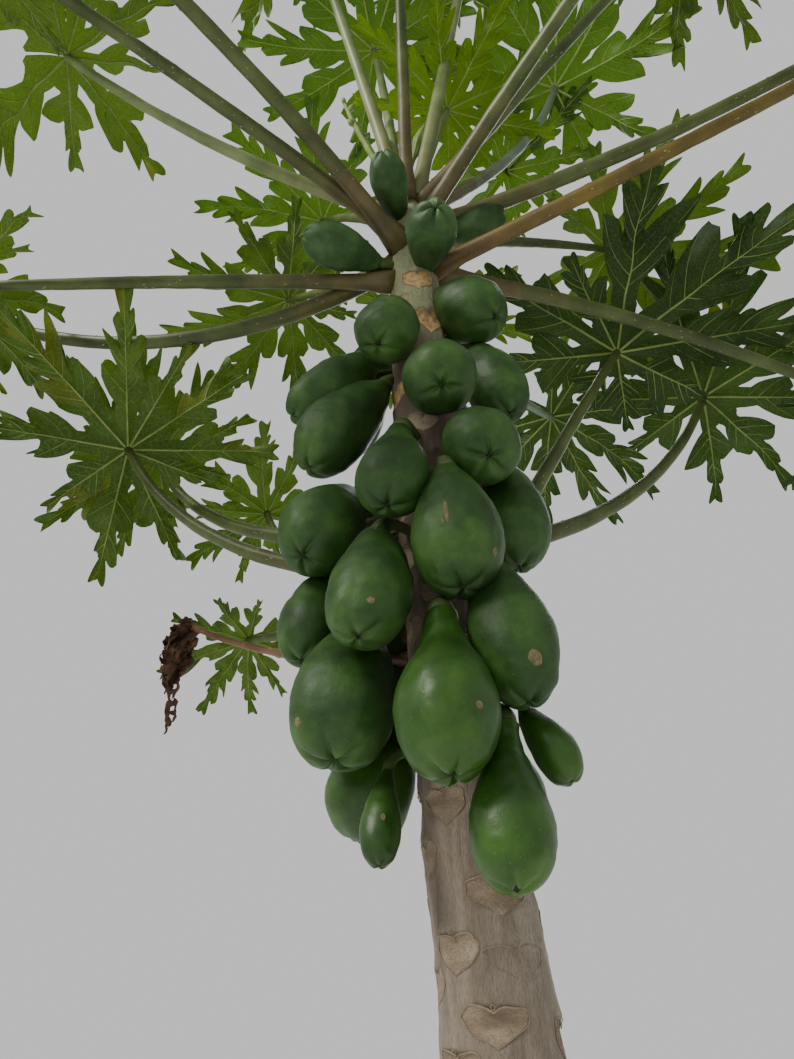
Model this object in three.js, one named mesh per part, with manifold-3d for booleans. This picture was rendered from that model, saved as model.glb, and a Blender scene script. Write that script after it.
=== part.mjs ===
// Papaya tree: a leaning stem with leaf scars, palmate leaves on long stalks, and a column of green fruit.
// Millimetres and degrees, +Z up. The origin is the centre of the flat cut at ground level.
// Headings turn from +X towards +Y. A rise is measured up from level, a dip down from it.
import * as THREE from "three";
import { mergeVertices } from "three/addons/utils/BufferGeometryUtils.js";
import Module from "manifold-3d";

const wasm = await Module();
wasm.setup();

// Driving dimensions
const STEM_HEIGHT = 3060;
const STEM_SIDES = 14;
const STEM_RINGS = 14;
const ROOT_FLARE = 54; // added to the diameter at the ground, dying away upwards
const ROOT_FLARE_REACH = 90;
const GAP = 0.3; // clearance between pieces that touch
const WELD = 1e-4; // points nearer together than this are one
const UPRIGHT = 0.99; // how steep a bar must be for its rings to be turned by another rule

// The stem's axis: height, sideways lean of its centre, diameter
const STEM_STATIONS = [
  [0, 0, 198],
  [350, -17, 190],
  [700, -50, 178],
  [1100, -88, 165],
  [1440, -122, 153],
  [2000, -174, 125],
  [2400, -197, 111],
  [2770, -215, 98],
  [3060, -230, 66],
];

const STALK_SIDES = 5;
const STALK_STEPS = 4;
const STALK_BASE = 56; // across a leaf stalk where it clasps the stem
const STALK_FLARE_REACH = 70;
const STALK_ROOT = 36; // across it past the flare
const STALK_END = 20; // across it at the blade
const STALK_SLIMMEST = 0.55; // a very short leaf stalk has this part of those thicknesses
const STALK_FULL_LENGTH = 990; // and one of this length or more has all of them
const STALK_SUNK = 12; // how far a stalk's centreline starts inside the stem's skin
const BLADE_THICKNESS = 5.5;
const BLADE_ARCH = 0.2; // how far the lobes' tips hang below the blade's plane, as a part of its span
const BLADE_FOLD = 0.05; // how far each lobe's edges lift above its rib

// A blade's lobes: angle from the midrib, length as a part of the span, and which outline they take
const LOBES = [
  [0, 1.0, "large"],
  [36, 0.97, "large"],
  [72, 0.9, "small"],
  [110, 0.78, "small"],
  [150, 0.62, "small"],
];
const SINUS = 0.22; // how near the centre the gaps between lobes reach
const BACK_SINUS = 0.08; // the same over the stalk
// Half of a lobe's outline, from its gap to its tip: along the rib and away from it, as parts of its length
const LOBE_SIDES = {
  large: [
    [0.42, 0.09],
    [0.66, 0.21],
    [0.72, 0.1],
  ],
  small: [[0.64, 0.19]],
};

// The wilted leaf hangs closed up from above its stalk's end: radii down its length, each ring swayed
// on from the last by an angle in radians
const WILTED = {
  above: 6,
  drop: 215,
  radii: [8, 24, 17, 33, 20, 27, 12, 5],
  sides: 7,
  sway: 12,
  swayTurn: 1.7,
  swayBack: 0.6, // the sway along Y, as a part of that along X
  drift: -3,
};

const FRUIT_SIDES = 8;
const FRUIT_RINGS = 6;
const FRUIT_RING_INSET = 0.6; // how far the end rings are from the tips, in steps between rings
// A plump fruit and one with a drawn-out neck: part of the way from neck to blossom end, part of full radius
const PLUMP = [
  [0, 0.22],
  [0.06, 0.45],
  [0.14, 0.68],
  [0.27, 0.88],
  [0.43, 0.99],
  [0.56, 1],
  [0.72, 0.93],
  [0.86, 0.74],
  [0.95, 0.47],
  [1, 0],
];
const DRAWN_OUT = [
  [0, 0.34],
  [0.1, 0.38],
  [0.2, 0.47],
  [0.31, 0.64],
  [0.43, 0.84],
  [0.6, 1],
  [0.75, 0.95],
  [0.88, 0.74],
  [0.96, 0.45],
  [1, 0],
];
const PEDUNCLE_SIDES = 5;
const PEDUNCLE_ACROSS = 17;
const PEDUNCLE_FLARE = 1.3; // how much thicker it is at the stem
const PEDUNCLE_RISE = 25; // how far above the fruit's neck its stalk leaves the stem
const PEDUNCLE_KNEE = 6; // how far short of the neck it bends
const PEDUNCLE_SUNK = 0.12; // how deep it runs into the fruit, as a part of the fruit's length

// The bud at the growing point: height above the stem's top, radius
const TIP_SIDES = 7;
const BUD = [
  [0, 29],
  [30, 25],
  [70, 14],
  [110, 3],
];
const BUD_LEAN = -0.06; // sideways for each unit up

// Folded young leaves round it: heading, rise and length
const FOLDED_LEAVES = [
  [80, 78, 190],
  [200, 72, 150],
  [320, 70, 170],
];
const FOLDED_FOOT = 22; // how far up the bud they start
// Place along a folded leaf, radius
const FOLDED_SHAPE = [
  [0, 6],
  [0.4, 6],
  [0.7, 15],
  [1, 2],
];
// The flower stalk: position, radius
const FLOWER_STALK = [
  [[-232, 2, 3075], 6],
  [[-300, 10, 3180], 7],
  [[-352, -15, 3285], 14],
  [[-380, -34, 3350], 4],
];

// Leaves: height on the stem, heading, rise at the stem, how much it rises less by its end, stalk length;
// the blade's span from its centre to its longest tip, the way its upper face leans, how far, and its own turn
const LEAVES = [
  [2760, 186, -5, 5, 860, 400, 187, 30, 0],
  [2820, 174, -38, -82, 1120, 370, 150, 35, 0],
  [2840, 226, 25, 32, 1040, 370, 228, 25, 0],
  [2880, 215, 14, 11, 910, 370, 210, 20, 0],
  [2960, 197, 4, -28, 765, 400, 215, 25, 0],
  [3040, 220, 70, 2, 830, 360, 240, 30, 0],
  [2985, 266, 64, 8, 700, 370, 264, 20, 0],
  [3000, 323, 78, -1, 940, 350, 320, 16, 8],
  [2900, 307, 25, 14, 930, 380, 305, 20, 0],
  [2985, 330, 40, 3, 840, 370, 332, 20, 0],
  [2920, 339, 0, -22, 1010, 380, 343, 15, 0],
  [2785, 335, 9, -4, 1000, 390, 336, 15, 0],
  [2800, 12, 0, 22, 1080, 390, 12, 30, 0],
  [3030, 146, 87, 7, 700, 420, 90, 32, 0],
  [3050, 5, 77, 2, 335, 300, 90, 30, 0],
  [2990, 11, 40, -35, 713, 430, 50, 35, 0],
  [2900, 28, 33, 11, 655, 380, 60, 45, 0],
  [2960, 43, 62, 11, 640, 300, 60, 55, 0],
  [2740, 54, -8, -32, 606, 330, 60, 45, 0],
  [2860, 128, 27, -8, 590, 340, 110, 45, 0],
  [2950, 122, 56, 14, 655, 350, 100, 45, 0],
  [2930, 82, 44, 20, 800, 370, 82, 45, 0],
  [2110, 163, 3, -57, 741, 370, 112, 50, -14],
  [2220, 149, -2, -61, 812, 330, 110, 50, 0],
  [2200, 125, 1, -56, 753, 240, 110, 45, 0],
  [2040, 27, 61, 3, 857, 470, 100, 50, 0],
  [2150, 30, 20, -41, 1028, 420, 50, 45, 0],
  [1990, 128, 24, 11, 653, 200, 110, 40, 0],
];
// The wilted leaf's stalk, in the same order as far as its length
const WILTED_STALK = [1960, 147, 8, -22, 581];

// Fruit: where round the stem its middle is, at what height and how far from the stem's axis,
// the heading and dip of its blossom end, its width and length, and how drawn out its neck is
const FRUIT = [
  [204, 2791, 159, 205, 0, 90, 166, 0.5],
  [247, 2953, 100, 255, -20, 77, 144, 0.3],
  [286, 2776, 107, 276, 6, 100, 167, 0.5],
  [345, 2897, 136, 340, -7, 71, 143, 0.3],
  [238, 2540, 114, 233, 63, 115, 150, 0.2],
  [335, 2645, 103, 322, 45, 125, 190, 0.4],
  [277, 2396, 132, 272, 51, 126, 150, 0.1],
  [348, 2477, 130, 330, 72, 112, 192, 0.3],
  [181, 2487, 166, 188, 47, 112, 222, 0.4],
  [186, 2384, 145, 190, 57, 125, 246, 0.4],
  [301, 2262, 142, 279, 50, 128, 152, 0.2],
  [244, 2206, 154, 248, 73, 118, 187, 0.8],
  [275, 2087, 157, 296, 81, 137, 223, 0.5],
  [345, 2183, 124, 308, 82, 122, 216, 0.4],
  [187, 2170, 180, 233, 55, 142, 205, 0.4],
  [229, 2010, 176, 251, 69, 124, 224, 0.4],
  [175, 2021, 208, 240, 71, 113, 176, 0.3],
  [194, 1884, 160, 252, 68, 152, 255, 0.4],
  [261, 1838, 171, 273, 73, 133, 251, 1],
  [299, 1939, 151, 312, 77, 120, 238, 0.5],
  [316, 1789, 145, 319, 60, 61, 130, 0.5],
  [283, 1703, 156, 262, 72, 102, 220, 1],
  [212, 1701, 142, 260, 67, 54, 141, 0.7],
];

// Round the far side the fruit hang in pairs on one stalk: the headings of the two, their height
const FAR_PAIRS = [
  [155, 59, 1772],
  [129, 85, 1944],
  [148, 59, 2085],
  [129, 85, 2288],
  [155, 59, 2460],
  [129, 85, 2632],
];
const FAR_FRUIT = {
  root: 107, // the heading of a pair's stalk
  out: 142,
  dip: 66,
  width: 128,
  length: 176,
  shrink: 4, // the size that each pair loses on the one below
  neck: 0.4,
};

const BARK = new THREE.MeshStandardMaterial({ color: 0x9c8b7a, roughness: 0.9, metalness: 0 });
const LEAF = new THREE.MeshStandardMaterial({ color: 0x5b7f2f, roughness: 0.6, metalness: 0 });
const DEAD_LEAF = new THREE.MeshStandardMaterial({ color: 0x5a3524, roughness: 0.9, metalness: 0 });
const SHOOT = new THREE.MeshStandardMaterial({ color: 0x93a765, roughness: 0.6, metalness: 0 });
const GREEN_FRUIT = new THREE.MeshStandardMaterial({ color: 0x3d6138, roughness: 0.45, metalness: 0 });

const Y = new THREE.Vector3(0, 1, 0);
const Z = new THREE.Vector3(0, 0, 1);

// Directions and the stem's axis

function direction(heading, rise) {
  const h = THREE.MathUtils.degToRad(heading);
  const r = THREE.MathUtils.degToRad(rise);
  return new THREE.Vector3(Math.cos(h) * Math.cos(r), Math.sin(h) * Math.cos(r), Math.sin(r));
}

// A smooth value between the stations, by cubic Hermite pieces
function stemValue(height, column) {
  const last = STEM_STATIONS.length - 1;
  const h = THREE.MathUtils.clamp(height, 0, STEM_STATIONS[last][0]);
  let i = 0;
  while (i < last - 1 && STEM_STATIONS[i + 1][0] < h) i += 1;
  const slope = (k) => {
    const a = STEM_STATIONS[Math.max(k - 1, 0)];
    const b = STEM_STATIONS[Math.min(k + 1, last)];
    return (b[column] - a[column]) / (b[0] - a[0]);
  };
  const span = STEM_STATIONS[i + 1][0] - STEM_STATIONS[i][0];
  const t = (h - STEM_STATIONS[i][0]) / span;
  const rest = 1 - t;
  return (
    STEM_STATIONS[i][column] * (1 + 2 * t) * rest * rest +
    slope(i) * span * t * rest * rest +
    STEM_STATIONS[i + 1][column] * t * t * (3 - 2 * t) -
    slope(i + 1) * span * t * t * rest
  );
}

function stemRadius(height) {
  return (stemValue(height, 2) + ROOT_FLARE * Math.exp(-height / ROOT_FLARE_REACH)) / 2;
}

function stemAxis(height) {
  return new THREE.Vector3(stemValue(height, 1), 0, height);
}

// Solids from three.js geometries

function solid(geometry) {
  const bare = geometry.clone();
  bare.deleteAttribute("normal");
  bare.deleteAttribute("uv");
  const merged = mergeVertices(bare, WELD);
  return new wasm.Manifold(
    new wasm.Mesh({
      numProp: 3,
      vertProperties: Float32Array.from(merged.attributes.position.array),
      triVerts: Uint32Array.from(merged.index.array),
    }),
  );
}

function moved(geometry, move) {
  const place = geometry.attributes.position;
  const point = new THREE.Vector3();
  for (let i = 0; i < place.count; i += 1) {
    point.fromBufferAttribute(place, i);
    move(point);
    place.setXYZ(i, point.x, point.y, point.z);
  }
  return geometry;
}

// A round bar along a row of points, with a radius of its own at each, grown all round and at both ends
function bar(points, radii, sides, grow) {
  const steps = points.length - 1;
  const geometry = new THREE.CylinderGeometry(1, 1, steps, sides, steps);
  const frames = points.map((point, i) => {
    const ahead = points[Math.min(i + 1, steps)].clone().sub(points[Math.max(i - 1, 0)]).normalize();
    const across = new THREE.Vector3().crossVectors(Math.abs(ahead.z) > UPRIGHT ? Y : Z, ahead).normalize();
    const over = new THREE.Vector3().crossVectors(ahead, across);
    const outward = i === steps ? grow : i === 0 ? -grow : 0;
    return { centre: point.clone().addScaledVector(ahead, outward), across, over, radius: radii[i] + grow };
  });
  return solid(
    moved(geometry, (p) => {
      const { centre, across, over, radius } = frames[Math.round(p.y + steps / 2)];
      const [x, z] = [p.x * radius, p.z * radius];
      p.copy(centre).addScaledVector(across, z).addScaledVector(over, x);
    }),
  );
}

function stem(grow) {
  const geometry = new THREE.CylinderGeometry(1, 1, 1, STEM_SIDES, STEM_RINGS);
  return solid(
    moved(geometry, (p) => {
      const up = p.y + 0.5;
      const height = up * STEM_HEIGHT;
      const radius = stemRadius(height) + grow;
      const axis = stemAxis(height);
      p.set(axis.x + p.x * radius, -p.z * radius, height + (up > 0.5 ? grow : 0));
    }),
  );
}

// Leaves

function leafPath([height, heading, rise, sag, length]) {
  const outward = direction(heading, 0);
  const start = stemAxis(height).addScaledVector(outward, stemRadius(height) - STALK_SUNK);
  const points = [start];
  for (let i = 0; i < STALK_STEPS; i += 1) {
    const here = rise - sag * ((i + 0.5) / STALK_STEPS);
    points.push(points.at(-1).clone().addScaledVector(direction(heading, here), length / STALK_STEPS));
  }
  return points;
}

function leafStalk(row, grow) {
  const points = leafPath(row);
  const length = row[4];
  const slim = Math.min(1, STALK_SLIMMEST + (1 - STALK_SLIMMEST) * (length / STALK_FULL_LENGTH));
  const radii = points.map((_, i) => {
    const t = i / STALK_STEPS;
    return (slim * (STALK_ROOT + (STALK_END - STALK_ROOT) * t)) / 2;
  });
  const ahead = points[1].clone().sub(points[0]).normalize();
  const flareEnd = points[0].clone().addScaledVector(ahead, STALK_FLARE_REACH);
  points.splice(1, 0, flareEnd);
  radii.splice(0, 1, (slim * STALK_BASE) / 2, radii[0]);
  return bar(points, radii, STALK_SIDES, grow);
}

// The points round a blade, its midrib along +Y
function bladeOutline(span, grow) {
  const at = (angle, along, away) => {
    const a = THREE.MathUtils.degToRad(angle);
    return new THREE.Vector2(
      along * Math.sin(a) + away * Math.cos(a),
      along * Math.cos(a) - away * Math.sin(a),
    );
  };
  const lobes = [...LOBES.slice(1).reverse().map(([angle, ...rest]) => [-angle, ...rest]), ...LOBES];
  const points = [at(180, span * BACK_SINUS + grow, 0)];
  lobes.forEach(([angle, reach, kind], i) => {
    const side = LOBE_SIDES[kind].map(([s, w]) => [s * reach * span, w * reach * span + grow]);
    points.push(...side.map(([s, w]) => at(angle, s, -w)));
    points.push(at(angle, reach * span + grow, 0));
    points.push(...side.reverse().map(([s, w]) => at(angle, s, w)));
    if (i < lobes.length - 1) points.push(at((angle + lobes[i + 1][0]) / 2, span * SINUS + grow, 0));
  });
  return points;
}

function leafBlade(row, grow) {
  const [, , , , , span, leansTo, lean, turn] = row;
  const path = leafPath(row);
  const centre = path.at(-1);
  const ahead = centre.clone().sub(path.at(-2)).normalize();
  const normal = direction(leansTo, 90 - lean);
  const rib = ahead.addScaledVector(normal, -ahead.dot(normal)).normalize();
  rib.applyAxisAngle(normal, THREE.MathUtils.degToRad(turn));
  const across = new THREE.Vector3().crossVectors(rib, normal);
  const outline = bladeOutline(span, 0);
  const nearestRib = (angle) => Math.min(...LOBES.map(([a]) => Math.abs(a - Math.abs(angle))));
  const slab = (wider) => {
    const geometry = new THREE.ExtrudeGeometry(new THREE.Shape(outline), { depth: 1, bevelEnabled: false });
    return solid(moved(geometry, (p) => {
      const distances = outline.map((q) => Math.hypot(q.x - p.x, q.y - p.y));
      const { x, y } = wider[distances.indexOf(Math.min(...distances))];
      const reach = Math.hypot(p.x, p.y);
      const angle = THREE.MathUtils.radToDeg(Math.atan2(p.x, p.y));
      const off = reach * Math.sin(THREE.MathUtils.degToRad(nearestRib(angle)));
      const hang = BLADE_ARCH * span * (reach / span) ** 2 - BLADE_FOLD * off;
      const level = (p.z - 0.5) * (BLADE_THICKNESS + 2 * grow) - hang;
      p.copy(centre).addScaledVector(across, x).addScaledVector(rib, y).addScaledVector(normal, level);
    }));
  };
  return grow ? slab(outline).add(slab(bladeOutline(span, grow))) : slab(outline);
}

function wiltedBlade(row, grow) {
  const { above, drop, radii, sides, sway, swayTurn, swayBack, drift } = WILTED;
  const top = leafPath(row).at(-1);
  const points = radii.map((_, i) => {
    const swing = sway * Math.sin(i * swayTurn);
    const down = (drop * i) / (radii.length - 1);
    return top.clone().add(new THREE.Vector3(swing + drift * i, swing * swayBack, above - down));
  });
  return bar(points, radii, sides, grow);
}

// Fruit

function fruitLie([around, height, out, heading, dip, , length]) {
  const middle = stemAxis(height).addScaledVector(direction(around, 0), out);
  const towards = direction(heading, -dip);
  return { towards, neck: middle.clone().addScaledVector(towards, -length / 2) };
}

function between(table, t) {
  const i = Math.max(table.findIndex(([place]) => place >= t), 1);
  const [[low, a], [high, b]] = [table[i - 1], table[i]];
  return a + ((b - a) * (t - low)) / (high - low);
}

// The radius a part t of the way from neck to blossom end
function fruitRadius(width, neck, t) {
  return (width / 2) * (between(PLUMP, t) * (1 - neck) + between(DRAWN_OUT, t) * neck);
}

function fruitBody(row, grow) {
  const [, , , , , width, length, neck] = row;
  const { towards, neck: start } = fruitLie(row);
  const profile = [new THREE.Vector2(0, -grow)];
  const steps = FRUIT_RINGS - 1 + 2 * FRUIT_RING_INSET;
  for (let i = 0; i < FRUIT_RINGS; i += 1) {
    const t = (1 - Math.cos((Math.PI * (i + FRUIT_RING_INSET)) / steps)) / 2;
    profile.push(new THREE.Vector2(fruitRadius(width, neck, t) + grow, t * length));
  }
  profile.push(new THREE.Vector2(0, length + grow));
  const turn = new THREE.Quaternion().setFromUnitVectors(Y, towards);
  const geometry = new THREE.LatheGeometry(profile, FRUIT_SIDES);
  return solid(moved(geometry, (p) => p.applyQuaternion(turn).add(start)));
}

function fruitBodies(rows, grow) {
  return rows.map((row) => fruitBody(row, grow)).reduce((all, body) => all.add(body));
}

// One stalk to each fruit of a node, all from one root: in the stem's middle, or a pair's under its skin
function peduncles(rows, grow) {
  const radius = PEDUNCLE_ACROSS / 2;
  const lies = rows.map(fruitLie);
  const rootHeight = lies[0].neck.z + PEDUNCLE_RISE;
  const root = stemAxis(rootHeight);
  if (rows.length > 1) root.addScaledVector(direction(FAR_FRUIT.root, 0), stemRadius(rootHeight));
  return lies
    .map(({ towards, neck }, i) => {
      const knee = neck.clone().addScaledVector(towards, -PEDUNCLE_KNEE);
      const inFruit = neck.clone().addScaledVector(towards, rows[i][6] * PEDUNCLE_SUNK);
      return bar([root, knee, inFruit], [radius * PEDUNCLE_FLARE, radius, radius], PEDUNCLE_SIDES, grow);
    })
    .reduce((all, one) => all.add(one));
}

function farPair([left, right, height], i) {
  const { out, dip, width, length, shrink, neck } = FAR_FRUIT;
  return [left, right].map((around) => {
    return [around, height, out, around, dip, width - shrink * i, length - shrink * i, neck];
  });
}

// The growing point: a bud, folded young leaves round it and one long flower stalk

function growingTip(grow) {
  const foot = stemAxis(STEM_HEIGHT).setZ(STEM_HEIGHT + GAP);
  const up = (z) => foot.clone().add(new THREE.Vector3(BUD_LEAN * z, 0, z));
  const column = (rows, k) => rows.map((row) => row[k]);
  const bud = bar(column(BUD, 0).map(up), column(BUD, 1), TIP_SIDES, grow);
  const folded = FOLDED_LEAVES.map(([heading, rise, length]) => {
    const along = direction(heading, rise).multiplyScalar(length);
    const points = FOLDED_SHAPE.map(([t]) => up(FOLDED_FOOT).addScaledVector(along, t));
    return bar(points, column(FOLDED_SHAPE, 1), STALK_SIDES, grow);
  });
  const places = FLOWER_STALK.map(([place]) => new THREE.Vector3(...place));
  const flower = bar(places, column(FLOWER_STALK, 1), TIP_SIDES, grow);
  return [...folded, flower].reduce((all, one) => all.add(one), bud);
}

// Joining and clearing

function near(a, b) {
  const [p, q] = [a.boundingBox(), b.boundingBox()];
  return [0, 1, 2].every((k) => p.min[k] <= q.max[k] && q.min[k] <= p.max[k]);
}

function cleared(body, others) {
  return others.filter((other) => near(body, other)).reduce((rest, other) => rest.subtract(other), body);
}

function largest(body) {
  return body.decompose().reduce((a, b) => (a.volume() > b.volume() ? a : b));
}

const tree = new THREE.Group();

function addNode(name, body, material) {
  const { vertProperties, triVerts } = body.getMesh();
  const geometry = new THREE.BufferGeometry();
  geometry.setAttribute("position", new THREE.BufferAttribute(Float32Array.from(vertProperties), 3));
  geometry.setIndex(new THREE.BufferAttribute(Uint32Array.from(triVerts), 1));
  geometry.computeVertexNormals();
  const mesh = new THREE.Mesh(geometry, material);
  mesh.name = name;
  tree.add(mesh);
}

const stemClearance = stem(GAP);
addNode("trunk", stem(0), BARK);

// Every plant part is a firm stalk, which keeps its shape, and a body that gives way to those before it
const numbered = (kind, i) => `${kind}_${String(i + 1).padStart(2, "0")}`;
const tip = { name: "growing_tip", stalk: growingTip, material: SHOOT };
const leaves = LEAVES.map((row, i) => ({
  name: numbered("leaf", i),
  stalk: (grow) => leafStalk(row, grow),
  body: (grow) => leafBlade(row, grow),
  material: LEAF,
}));
const wilted = {
  name: "leaf_wilted",
  stalk: (grow) => leafStalk(WILTED_STALK, grow),
  body: (grow) => wiltedBlade(WILTED_STALK, grow),
  material: DEAD_LEAF,
};
const singles = FRUIT.map((row) => [row]);
const pairs = FAR_PAIRS.map(farPair);
const fruit = [singles, pairs].flatMap((nodes, far) =>
  nodes.map((rows, i) => ({
    name: numbered(far ? "fruit_pair" : "fruit", i),
    stalk: (grow) => peduncles(rows, grow),
    body: (grow) => fruitBodies(rows, grow),
    material: GREEN_FRUIT,
  })),
);
const parts = [tip, ...leaves, wilted, ...fruit];

const stalks = new Map();
parts.forEach((part) => {
  const before = [...stalks.values()].map(({ clearance }) => clearance);
  stalks.set(part, { own: cleared(part.stalk(0), [stemClearance, ...before]), clearance: part.stalk(GAP) });
});

const bodiesBefore = [];
parts.forEach((part) => {
  let whole = stalks.get(part).own;
  if (part.body) {
    const others = parts.filter((other) => other !== part).map((other) => stalks.get(other).clearance);
    whole = whole.add(cleared(part.body(0), [stemClearance, ...others, ...bodiesBefore]));
    bodiesBefore.push(part.body(GAP));
  }
  addNode(part.name, largest(whole), part.material);
});

export default tree;
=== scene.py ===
"""Papaya tree: bark with leaf scars, leaf stalks, lobed blades with their veins, and fruit, grown over the solids.

Sizes are in millimetres and degrees until a mesh is made. Headings turn from +X towards +Y.
"""

import bmesh
import bpy
import numpy as np
from numpy import cos, pi, radians, sin
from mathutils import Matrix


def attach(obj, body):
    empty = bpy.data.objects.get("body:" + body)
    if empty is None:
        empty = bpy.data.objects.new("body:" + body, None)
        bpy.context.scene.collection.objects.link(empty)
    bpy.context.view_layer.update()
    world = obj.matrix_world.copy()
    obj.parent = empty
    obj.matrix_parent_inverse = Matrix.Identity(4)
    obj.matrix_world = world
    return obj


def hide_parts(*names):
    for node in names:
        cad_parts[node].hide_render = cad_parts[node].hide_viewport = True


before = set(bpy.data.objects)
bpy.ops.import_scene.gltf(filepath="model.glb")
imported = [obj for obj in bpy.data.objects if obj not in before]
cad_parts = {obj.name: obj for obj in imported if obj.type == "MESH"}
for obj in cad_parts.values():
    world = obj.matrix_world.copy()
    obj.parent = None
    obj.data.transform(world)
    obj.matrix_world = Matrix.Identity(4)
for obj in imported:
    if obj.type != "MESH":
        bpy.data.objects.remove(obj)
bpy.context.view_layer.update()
MM = 0.001
WELD = 2e-5  # metres within which points become one
UPWARDS = (0.01, 0.02, 1)  # nearly, so that no path runs along it

# Camera: the photograph's viewing angle
EYE = np.array([-250.0, -1150.0, 1500.0])
PITCH = 30.5
FOCAL = 796  # in the photograph's pixels
CENTRE = np.array([397, 529.5])
PHOTO_HEIGHT = 1059
SENSOR = 36

# Stem: height, sideways lean of its centre, diameter
STEM_HEIGHT = 3060
STEM_STATIONS = [
    (0, 0, 198), (350, -17, 190), (700, -50, 178), (1100, -88, 165), (1440, -122, 153),
    (2000, -174, 125), (2400, -197, 111), (2770, -215, 98), (3060, -230, 66),
]
ROOT_FLARE = 54
ROOT_FLARE_REACH = 90

# Bark: how many rows lie between which heights, and points round
BARK_ROWS = [(0, 900, 75), (900, 1400, 100), (1400, 1770, 150), (1770, 3060, 260)]
BARK_ROUND = 132

# Leaf scars: height, heading, width, height and clearness of those that the photograph shows, and of the fresh ones
SEEN_SCARS = [
    (1717, 237, 60, 48, 1), (1544, 231, 64, 46, 1), (1608, 282, 84, 44, 0.7), (1470, 261, 80, 42, 1),
    (1425, 220, 66, 42, 1), (1655, 196, 60, 44, 0.5), (1535, 292, 80, 38, 0.3), (1511, 191, 60, 40, 0.4),
]
FRESH_SCARS = [(2716, 274, 66, 54, 1), (2606, 292, 56, 58, 1), (2439, 206, 56, 50, 1)]
SEEN_BAND = (1400, 1770, 172, 338)  # heights and headings that only hold the seen ones
SCAR_TURN = 137.5
SCAR_CLIMB = 16.2
SCAR_FIRST = (-84, 1475.6, 261)  # number of the lowest, then height and heading of number nought
SCAR_LAST = 74
SCAR_ROUND = 40
SCAR_STRAY = (6, 8)  # in height and heading, of those that aren't seen
SCAR_WIDTH = 0.95  # of the stem's radius
SCAR_HEIGHTS = [0, 1400, 2700], [46, 56, 42]
FRESH_ROOM = (50, 45)  # in height and heading, kept clear round the fresh ones
SCAR_MARGINS = (40, 60)  # none nearer the ground and the top
BARK_HOLLOW = 5.4
PATCH_HOLLOW = 3.6

# Bark relief: depth and size of waves, then what stands out round each scar
BARK_SWELLS = (2.2, 150)
BARK_KNOBBLES = (0.8, 30)
BARK_WRINKLES = (0.5, 12)
SCAR_SHELF = 2.8
SCAR_RIDGE = 1.2
SCAR_BUD = (3.2, 5)  # height and radius

# A scar's patch: its rings in shares of its outline, how proud each is, and its crease's depth and width
PATCH_RINGS = [1.06, 1, 0.92, 0.75, 0.5, 0.25, 0]
PATCH_PROUD = [-1.2, 0.4, 0.1, 0.1, 0.5, 0.7, 0.5]
CREASE = (1.4, 0.07)
PATCH_FROM = 0.35  # scars less clear than this have only a rim
RIM_PROUD = 0.2
BUD_RING = (2.6, 2.3, 0.7)  # half height, half width, thickness
BUD_PROUD = 0.4

# Leaf stalks and blades, as in the solids
STALK_SUNK = 12
STALK_STEPS = 4
STALK_BASE = 56
STALK_ROOT = 36
STALK_END = 20
STALK_SLIMMEST = 0.55
STALK_FULL_LENGTH = 990
STALK_FLARE_REACH = 48
STALK_SIDES = 14
STALK_RIDGES = 0.035  # three along it, in shares of its thickness
STALK_WAVES = (0.5, 40)
TINT_STEP = 75  # length of each of the tints that lead away from the stem
WART_GAP = {"olive": 14, "ochre": 14}
PLAIN_WART_GAP = 26
WART_REACH = np.array([-2.6, -1.0, 1.0, 2.6])
BLADE_ARCH = 0.2
BLADE_FOLD = 0.36

# Each lobe's angle from the middle one and its reach, then those of the leaves whose own lobes the photograph shows
LOBES = [(-150, 0.62), (-110, 0.78), (-72, 0.9), (-36, 0.97), (0, 1.0), (36, 0.97), (72, 0.9), (110, 0.78), (150, 0.62)]
SEEN_LOBES = {
    5: [(-146, 0.63), (-112, 0.77), (-88, 0.67), (-55, 0.68), (39, 0.9), (82, 0.65), (117, 0.8), (167, 0.48)],
    23: [
        (-165, 0.5), (-143, 0.79), (-109, 0.79), (-84, 0.68), (-54, 0.87),
        (-14, 0.99), (26, 0.74), (72, 0.53), (112, 0.74), (149, 0.67),
    ],
    26: [
        (-169, 0.3), (-121, 0.37), (-67, 0.5), (-32, 0.92), (-2, 1.0),
        (43, 0.85), (80, 0.51), (111, 0.76), (144, 0.63),
    ],
}
SINUS = 0.2
BACK_SINUS = 0.09

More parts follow.
